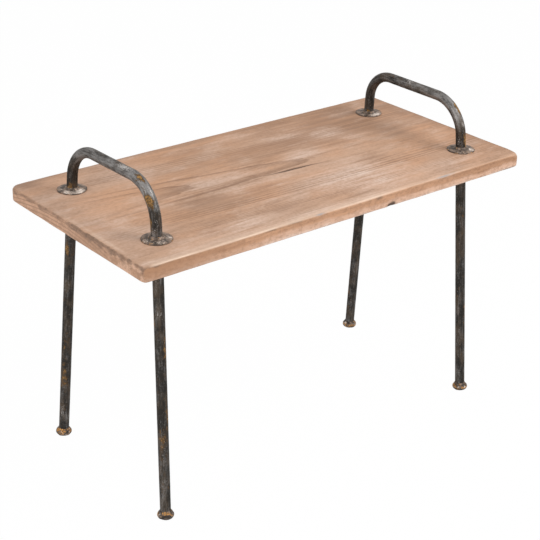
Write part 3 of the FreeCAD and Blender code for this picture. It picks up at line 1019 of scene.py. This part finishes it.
def buildLegs(finish):
    for seed, (name, corner) in zip(legs["seeds"], corners.items()):
        node = f"leg_{name}"
        start, end = reachAlong(node, corner)
        along = np.linspace(start, end, 2 + round((end - start) / tube["step"]))
        centres = alongPost(corner, along)
        across, forward = (np.broadcast_to(axis, centres.shape) for axis in postAxes(corner))
        rust = (legs["brown"], *legs["rust"][name])
        looks = {"worn": legs["worn"], "rust": rust, "scuff": legs["scuff"][name]}
        points, faces, fields = tubeShell(centres, across, forward, along, looks, seed)
        makePiece(f"leg.{name}", points, faces, finish, f"{name}_leg", node, fields)
    print("legs:", len(corners))


tubeSteel = darkSteel()
buildHandles(tubeSteel)
buildLegs(tubeSteel)

# Handle washers: thin dished discs, welded round the posts. Rings go from the bore, under the disc, round
# its rim, over the weld and back inside the tube, as radius and height
handleWasher = {
    "sides": 96,
    "rings": (
        (0.005, 0.0), (0.012, 0.0), (0.019, 0.0), (0.0221, 0.0001), (0.0225, 0.0005), (0.0224, 0.001),
        (0.022, 0.0014), (0.0212, 0.00155), (0.02, 0.0017), (0.0185, 0.0019), (0.017, 0.0021),
        (0.0155, 0.0023), (0.0142, 0.0025), (0.0131, 0.0026), (0.0122, 0.0028), (0.0113, 0.003),
        (0.0106, 0.0034), (0.0099, 0.004), (0.0092, 0.0046), (0.0086, 0.0051), (0.0082, 0.0054),
        (0.0077, 0.0055), (0.0077, 0.003), (0.005, 0.003),
    ),
    # first and last ring of the rim, the dished face and the weld, and the ring whose noise each takes
    "rim": (3, 7),
    "dished": (6, 14),
    "welded": (14, 21),
    "rimRing": 4,
    "weldRing": 16,
    "rimChips": 0.0004,
    "rimInset": 1.6,  # in depths of a chip
    "rimSize": 0.006,
    "buckle": 0.0003,
    "buckleSize": 0.008,
    "weldLump": 0.0005,
    "weldSize": 0.0045,
    "weldRipple": 0.0002,
    "weldBeads": 17,
    "weldDrift": 6,  # how far the lumps shift the beads
    # rubbed places on the disc, mostly on its front half and there also a painted highlight: turn, radius,
    # half size and strength
    "rubbedAndLit": {
        "front_left": ((250, 0.015, 0.009, 0.9), (330, 0.017, 0.008, 0.8), (180, 0.018, 0.008, 0.6)),
        "front_right": ((300, 0.016, 0.009, 0.9), (220, 0.018, 0.007, 0.6), (20, 0.018, 0.006, 0.5)),
        "back_left": ((230, 0.014, 0.010, 1.5), (280, 0.016, 0.009, 1.4), (150, 0.018, 0.007, 0.4)),
        "back_right": ((255, 0.017, 0.008, 0.9), (290, 0.018, 0.007, 0.8), (200, 0.018, 0.006, 0.5)),
    },
    "rubbedAndLitMost": 1.5,
    "weldCover": 0.7,
    "weldRust": 0.1,
    "rimRust": 0.2,
    # soot round the weld: strength and radius where it starts to fade, its reach and its most
    "sootAndShade": (1.4, 0.009, 0.009, 0.9),
    # how much darker the rim is made
    "rimDarkening": 0.9,
    "sharpAngle": 70,
    "seed": 51,
}
wornSteelLook = {
    # how much the fields and noises add to each layer
    "sootAndShadeField": -0.12,
    "rustField": 0.3,
    "rubbedAndLitField": 0.32,
    "rubbedAndLitBlot": 0.3,
    "rubbedAndLitFleck": 0.6,
    "curlLevel": 0.5,
    "metal": (-0.4, 0.65),  # what rust adds, and clean steel
    "fleckRise": 0.5,
    "reliefDepth": 0.0004,
    "tones": {
        "dark": (0.075, 0.058, 0.047),
        "mid": (0.32, 0.23, 0.177),
        "bright": (0.78, 0.66, 0.57),
        "rust": (0.55, 0.265, 0.06),
        "rustDeep": (0.075, 0.042, 0.022),
        "charredAndShaded": (0.022, 0.017, 0.014),
    },
    # noises: spots a metre along x, y and z, detail and roughness
    "grain": {
        "cloud": ((150, 150, 150), 4.0, 0.6),
        "fleck": ((520, 520, 520), 3.0, 0.6),
        "blot": ((240, 240, 240), 3.0, 0.5),
        "curls": ((260, 260, 260), 1.0, 0.5),
    },
    # soft steps: from, to, and what they give before and after
    "steps": {
        "worn": (0.3, 0.55),
        "rusted": (0.62, 0.72),
        "golden": (0.34, 0.6),
        "rubbedAndLit": (0.58, 0.8),
        "curl": (0.012, 0.05, 1.0, 0.0),
        "charredAndShaded": (1.3, 2.1, 0.0, 0.9),
        "roughness": (0.0, 1.0, 0.6, 0.4),
    },
}


def wornSteel():
    finish, tree, shader = newFinish("wornSteel")
    look = wornSteelLook
    tones = look["tones"]
    steps = look["steps"]
    place = objectPlace(tree)
    cloud, fleck, blot, curls = (mottle(place, *size) for size in look["grain"].values())
    sootAndShade = field(tree, "sootAndShade")
    worn = ease(timesPlus(sootAndShade, look["sootAndShadeField"], cloud), *steps["worn"])
    rusted = ease(timesPlus(field(tree, "rust"), look["rustField"], blot), *steps["rusted"])
    rustTone = tint(ease(fleck, *steps["golden"]), tones["rustDeep"], tones["rust"])
    # rubbed bright metal; on the washers' front halves and the feet's tops it is also a painted highlight
    rubbedAndLit = timesPlus(blot, look["rubbedAndLitBlot"], times(fleck, look["rubbedAndLitFleck"]))
    rubbedAndLit = ease(timesPlus(field(tree, "rubbedAndLit"), look["rubbedAndLitField"], rubbedAndLit), *steps["rubbedAndLit"])
    # Sooty curls left by the welding, and charred places where the soot is thick; on the feet's lower rings
    # this dark is painted shade
    contour = maths("ABSOLUTE", maths("SUBTRACT", curls, look["curlLevel"]))
    curl = times(ease(contour, *steps["curl"]), sootAndShade)
    colour = layered(
        tones["dark"],
        (worn, tones["mid"]),
        (rusted, rustTone),
        (rubbedAndLit, tones["bright"]),
        (curl, tones["dark"]),
        (ease(sootAndShade, *steps["charredAndShaded"]), tones["charredAndShaded"]),
    )
    feed(shader.inputs["Base Color"], colour)
    feed(shader.inputs["Metallic"], timesPlus(rusted, *look["metal"]))
    feed(shader.inputs["Roughness"], ease(rubbedAndLit, *steps["roughness"]))
    relief(shader, timesPlus(fleck, look["fleckRise"], blot), look["reliefDepth"])
    return finish


def buildHandleWashers(finish):
    size = handleWasher
    turn = turnAngles(size["sides"])
    cosTurn, sinTurn = roundTurn(size["sides"])
    radii, heights = (np.reshape(values, (-1, 1)) for values in np.transpose(size["rings"]))
    number = np.arange(len(radii))[:, None]
    rim, dished, welded = (within(number, size[kind]) for kind in ("rim", "dished", "welded"))
    plain = np.stack(np.broadcast_arrays(radii * cosTurn, radii * sinTurn, heights), axis=-1)
    for seed, (name, corner) in enumerate(corners.items(), start=size["seed"]):
        slope = np.array((corner["down"].x, corner["down"].y)) / corner["down"].z
        place = plain + np.array(corner["top"])
        chips = unevenness(np.broadcast_to(place[size["rimRing"]], plain.shape), size["rimSize"], seed)
        buckles = unevenness(place, size["buckleSize"], seed + 1)
        lump = unevenness(place, size["weldSize"], seed + 2)
        beads = np.cos(turn * size["weldBeads"] + size["weldDrift"] * lump[size["weldRing"]])
        radius = radii - rim * size["rimChips"] * (size["rimInset"] + chips)
        radius += welded * (size["weldLump"] * lump + size["weldRipple"] * beads)
        height = heights + dished * size["buckle"] * buckles
        height += welded * size["weldLump"] * unevenness(place, size["weldSize"], seed + 3)
        points = np.stack([
            corner["top"].x + radius * cosTurn + welded * slope[0] * height,
            corner["top"].y + radius * sinTurn + welded * slope[1] * height,
            corner["top"].z + np.maximum(height, 0),
        ], axis=-1)
        rubbedAndLit = np.zeros(plain.shape[:2])
        for markTurn, markRadius, half, strength in size["rubbedAndLit"][name]:
            angle = math.radians(markTurn)
            middle = markRadius * np.array((math.cos(angle), math.sin(angle)))
            rubbedAndLit += strength * hump(np.linalg.norm(plain[..., :2] - middle, axis=-1), half)
        rubbedAndLit = np.clip(rubbedAndLit, 0, size["rubbedAndLitMost"]) * (number >= size["dished"][0])
        sootHigh, sootStart, sootReach, sootMost = size["sootAndShade"]
        sootAndShade = np.clip(sootHigh - (radius - sootStart) / sootReach, 0, sootMost)
        fields = {
            "rubbedAndLit": rubbedAndLit * (1 - size["weldCover"] * welded),
            "rust": np.broadcast_to(size["weldRust"] * welded + size["rimRust"] * rim, radius.shape),
            "sootAndShade": sootAndShade + size["rimDarkening"] * rim,
        }
        faces = ringFaces(len(radii), size["sides"], closed=True)
        node = f"handle_washer_{name}"
        makePiece(f"handleWasher.{name}", points, faces, finish, "tray", node, fields,
                  size["sharpAngle"])
    print("handle washers:", len(corners))


# Feet: a thick rusty bead with a weld up to the tube. Rings are radius and height, from the floor up
foot = {
    "sides": 64,
    "rings": (
        (0.0045, -0.0012), (0.0073, -0.0012), (0.0092, -0.0008), (0.0107, 0.0002), (0.0117, 0.0016),
        (0.0122, 0.003), (0.01225, 0.0042), (0.012, 0.0054), (0.0114, 0.0066), (0.0106, 0.0076),
        (0.0098, 0.0086), (0.0091, 0.0097), (0.0085, 0.0107), (0.0081, 0.0115), (0.0076, 0.0117),
        (0.0076, 0.0082), (0.0035, 0.0082),
    ),
    # by ring: the lumpy ones, where the upper half begins and is full, the last one with rubbed metal and
    # painted highlight, and the last one with painted shade as soot
    "lumpy": (1, 13),
    "upper": (4, 6),
    "rubbedAndLitTo": 11,
    "sootyAndShadedTo": 4,
    "lump": 0.0009,
    "lumpSize": 0.006,
    "lumpMost": 0.1,  # keeps the lumps from swelling the bead
    "pit": 0.00025,
    "pitSize": 0.002,
    # spots of wear and painted light: level and swing of the rubbed metal with its painted highlights, the
    # rust and the soot, which is thicker below as painted shade
    "spotSize": 0.0055,
    "rubbedAndLit": (-0.1, 2.0),
    "rust": (0.64, 1.8),
    "lowRustInShade": 0.1,
    "sootAndShade": (1.3, 2.0),
    "lowSootAndShade": 2.3,
    "sharpAngle": 60,
    "seed": 71,
}


def buildFeet(finish):
    radii, heights = (np.reshape(values, (-1, 1, 1)) for values in np.transpose(foot["rings"]))
    number = np.arange(len(radii))[:, None]
    upper = np.interp(number, foot["upper"], (0, 1))
    for seed, (name, corner) in enumerate(corners.items(), start=foot["seed"]):
        floorPoint = np.array(corner["top"] - corner["down"] * (corner["top"].z / corner["down"].z))
        turned = spokes(corner, foot["sides"])
        plain = floorPoint - heights * np.array(corner["down"]) + radii * turned
        lumps = foot["lump"] * np.minimum(unevenness(plain, foot["lumpSize"], seed), foot["lumpMost"])
        pits = foot["pit"] * unevenness(plain, foot["pitSize"], seed + 1)
        points = plain + (within(number, foot["lumpy"]) * (lumps + pits))[..., None] * turned
        points[..., 2] = np.maximum(points[..., 2], 0)
        spotted, rusty, sootyAndShaded = (
            foot[kind][0] + foot[kind][1] * unevenness(plain, foot["spotSize"], seed + step)
            for step, kind in ((2, "rubbedAndLit"), (3, "rust"), (4, "sootAndShade"))
        )
        # the soot on the lower rings is painted shade; the rubbed metal and most rust keep to the upper half
        # as painted light on the top
        fields = {
            "rubbedAndLit": np.clip(spotted, 0, 1) * upper * (number <= foot["rubbedAndLitTo"]),
            "rust": np.clip(rusty, 0, 1) * (foot["lowRustInShade"] + (1 - foot["lowRustInShade"]) * upper),
            "sootAndShade": sootyAndShaded + (foot["lowSootAndShade"] - foot["sootAndShade"][0]) * (number <= foot["sootyAndShadedTo"]),
        }
        faces = ringFaces(len(radii), foot["sides"], capped=True)
        node = f"foot_{name}"
        makePiece(f"foot.{name}", points, faces, finish, f"{name}_leg", node, fields,
                  foot["sharpAngle"])
    print("feet:", len(corners))


weldedSteel = wornSteel()
buildHandleWashers(weldedSteel)
buildFeet(weldedSteel)

# Studs with a real right-hand M8 thread, and the loose washers on the legs
stud = {
    "pitch": 0.00125,
    "crest": 0.004,
    "root": 0.00339,
    "crestFlat": 0.16,
    "rootFlat": 0.25,
    "chamfer": 0.001,
    "sides": 32,
    "rowsEachTurn": 8,
    "sharpAngle": 25,
}
underWasher = {
    "radius": 0.015,
    "bore": 0.0045,
    "edge": 0.0004,
    "edgeCut": 0.3,  # how much of the edge its middle ring cuts off
    "sides": 72,
    "dent": 0.00008,
    "dentSize": 0.01,
    "sharpAngle": 35,
    "seed": 91,
}
platedLook = {
    "metal": 0.9,
    "reliefDepth": 0.0001,
    "tones": {
        "zinc": (0.42, 0.42, 0.40),
        "dull": (0.2, 0.19, 0.17),
        "yellowed": (0.36, 0.31, 0.2),
    },
    # noises and soft steps as for the worn steel
    "grain": {
        "cloud": ((180, 180, 180), 3.0, 0.55),
        "fleck": ((900, 900, 900), 2.0, 0.5),
    },
    "steps": {
        "dull": (0.4, 0.7),
        "yellowed": (0.5, 0.8, 0.0, 0.5),
        "roughness": (0.3, 0.7, 0.3, 0.5),
    },
}


def platedSteel():
    finish, tree, shader = newFinish("platedSteel")
    look = platedLook
    tones = look["tones"]
    steps = look["steps"]
    place = objectPlace(tree)
    cloud, fleck = (mottle(place, *size) for size in look["grain"].values())
    colour = layered(
        tones["zinc"],
        (ease(cloud, *steps["dull"]), tones["dull"]),
        (ease(fleck, *steps["yellowed"]), tones["yellowed"]),
    )
    feed(shader.inputs["Base Color"], colour)
    feed(shader.inputs["Metallic"], look["metal"])
    feed(shader.inputs["Roughness"], ease(cloud, *steps["roughness"]))
    relief(shader, fleck, look["reliefDepth"])
    return finish


def buildStuds(finish):
    turnShare = np.arange(stud["sides"]) / stud["sides"]
    for name, corner in corners.items():
        node = f"stud_{name}"
        start, end = reachAlong(node, corner)
        along = np.linspace(start, end, 2 + round((end - start) / stud["pitch"] * stud["rowsEachTurn"]))
        share = (along[:, None] / stud["pitch"] - turnShare) % 1
        flank = np.abs(share - 0.5) * 2
        climb = np.clip((flank - stud["crestFlat"]) / (1 - stud["crestFlat"] - stud["rootFlat"]), 0, 1)
        radius = stud["crest"] - (stud["crest"] - stud["root"]) * climb
        tip = np.minimum(along - start, end - along)[:, None]
        radius = np.minimum(radius, stud["crest"] - stud["chamfer"] + tip)
        points = turnedRings(corner, along, radius, stud["sides"])
        faces = ringFaces(len(along), stud["sides"], capped=True)
        makePiece(f"stud.{name}", points, faces, finish, "tray", node,
                  sharpAngle=stud["sharpAngle"])
    print("studs:", len(corners))


def buildUnderWashers(finish):
    bore, radius, edge = (underWasher[name] for name in ("bore", "radius", "edge"))
    cut = edge * underWasher["edgeCut"]
    # one face from the bore out, as radius and how far in from the face
    outline = (
        (bore, edge), (bore + edge, 0), ((bore + radius) / 2, 0),
        (radius - edge, 0), (radius - cut, cut), (radius, edge),
    )
    for seed, (name, corner) in enumerate(corners.items(), start=underWasher["seed"]):
        node = f"under_washer_{name}"
        start, end = reachAlong(node, corner)
        rings = [(ring, start + inset) for ring, inset in outline]
        rings += [(ring, end - inset) for ring, inset in reversed(outline)]
        radii, depths = np.transpose(rings)
        points = turnedRings(corner, depths, radii, underWasher["sides"])
        dents = underWasher["dent"] * np.minimum(unevenness(points, underWasher["dentSize"], seed), 0)
        points = points + dents[..., None] * spokes(corner, underWasher["sides"])
        faces = ringFaces(len(radii), underWasher["sides"], closed=True)
        makePiece(f"underWasher.{name}", points, faces, finish, f"{name}_washer", node,
                  sharpAngle=underWasher["sharpAngle"])
    print("under washers:", len(corners))


zincSteel = platedSteel()
buildStuds(zincSteel)
buildUnderWashers(zincSteel)
for cornerName in corners:
    for kind in ("handle_plug", "leg_bush"):
        insert = frame["nodes"][f"{kind}_{cornerName}"]
        insert.data.materials.clear()
        insert.data.materials.append(zincSteel)
print("plugs and bushes keep their solids")

# Floor and light: white to the camera, with the table's own soft shadow
floor = {
    "half": 6.0,
    "height": -0.0002,
    "colour": (0.9, 0.9, 0.9),
    "glow": 0.985,
}
light = {
    "world": 0.52,
    # lamps: place, size and power; each is aimed at the table's middle
    "lamps": {
        "key": ((1.3, -1.5, 2.2), 1.8, 45),
        "fill": ((-2.2, -0.5, 1.0), 1.5, 22),
    },
    "aim": (0, 0, 0.35),
}


def seenDirectly(tree):  # 1 for what the camera, a mirror or glass sees
    path = tree.nodes.new("ShaderNodeLightPath")
    seen = maths("ADD", path.outputs["Is Camera Ray"], path.outputs["Is Glossy Ray"])
    seen = maths("ADD", seen, path.outputs["Is Transmission Ray"])
    return maths("MINIMUM", seen, 1.0)


def mixShaders(tree, share, first, second):
    mix = tree.nodes.new("ShaderNodeMixShader")
    for socket, value in zip(mix.inputs, (share, first.outputs[0], second.outputs[0])):
        feed(socket, value)
    output = next(node for node in tree.nodes if node.type.startswith("OUTPUT"))
    feed(output.inputs["Surface"], mix.outputs[0])


def buildFloor():
    half = floor["half"]
    outline = [(x * half, y * half, floor["height"]) for x, y in ((-1, -1), (1, -1), (1, 1), (-1, 1))]
    mesh = bpy.data.meshes.new("floor")
    mesh.from_pydata(outline, [], [(0, 1, 2, 3)])
    finish, tree, shader = newFinish("paleFloor")
    tree.nodes.remove(shader)
    diffuse = tree.nodes.new("ShaderNodeBsdfDiffuse")
    feed(diffuse.inputs["Color"], (*floor["colour"], 1.0))
    glow = tree.nodes.new("ShaderNodeEmission")
    feed(glow.inputs["Strength"], 1.0)
    mixShaders(tree, times(seenDirectly(tree), floor["glow"]), diffuse, glow)
    mesh.materials.append(finish)
    plane = addObject("floor", mesh)


def buildLight():
    world = bpy.data.worlds.new("softStudio")
    scene.world = world
    world.use_nodes = True
    tree = world.node_tree
    plain = next(node for node in tree.nodes if node.type == "BACKGROUND")
    white = tree.nodes.new("ShaderNodeBackground")
    for node, strength in ((plain, light["world"]), (white, 1.0)):
        feed(node.inputs["Color"], (1.0, 1.0, 1.0, 1.0))
        feed(node.inputs["Strength"], strength)
    mixShaders(tree, seenDirectly(tree), plain, white)
    for name, (place, size, power) in light["lamps"].items():
        lamp = bpy.data.lights.new(name, "AREA")
        lamp.shape = "DISK"
        lamp.size = size
        lamp.energy = power
        holder = addObject(name, lamp)
        holder.location = place
        aim = Vector(light["aim"]) - Vector(place)
        holder.rotation_euler = aim.to_track_quat("-Z", "Y").to_euler()


# Camera at the photograph's angle: it looks from the front left, a little rolled
camera = {
    "sensor": 36.0,
    "lens": 90.6357,
    "azimuth": -39.6601,
    "elevation": 25.6734,
    "roll": 1.5018,
    "distance": 2.04434,
    "aside": 0.00777,
    "above": 0.15248,
}


def buildCamera():
    azimuth, elevation, roll = (math.radians(camera[name]) for name in ("azimuth", "elevation", "roll"))
    level = math.cos(elevation)
    back = Vector((math.sin(azimuth) * level, -math.cos(azimuth) * level, math.sin(elevation)))
    right = Vector((math.cos(azimuth), math.sin(azimuth), 0))
    up = back.cross(right)
    rightRolled = right * math.cos(roll) + up * math.sin(roll)
    upRolled = up * math.cos(roll) - right * math.sin(roll)
    place = Vector((0, 0, boardHigh.z)) + back * camera["distance"]
    place -= rightRolled * camera["aside"] + upRolled * camera["above"]
    turned = Matrix((rightRolled, upRolled, back)).transposed().to_4x4()
    lens = bpy.data.cameras.new("camera")
    lens.sensor_width = camera["sensor"]
    lens.lens = camera["lens"]
    view = addObject("camera", lens)
    view.matrix_world = Matrix.Translation(place) @ turned
    scene.camera = view


buildFloor()
buildLight()
buildCamera()
scene.view_settings.view_transform = "Standard"
print("floor, light and camera are set")
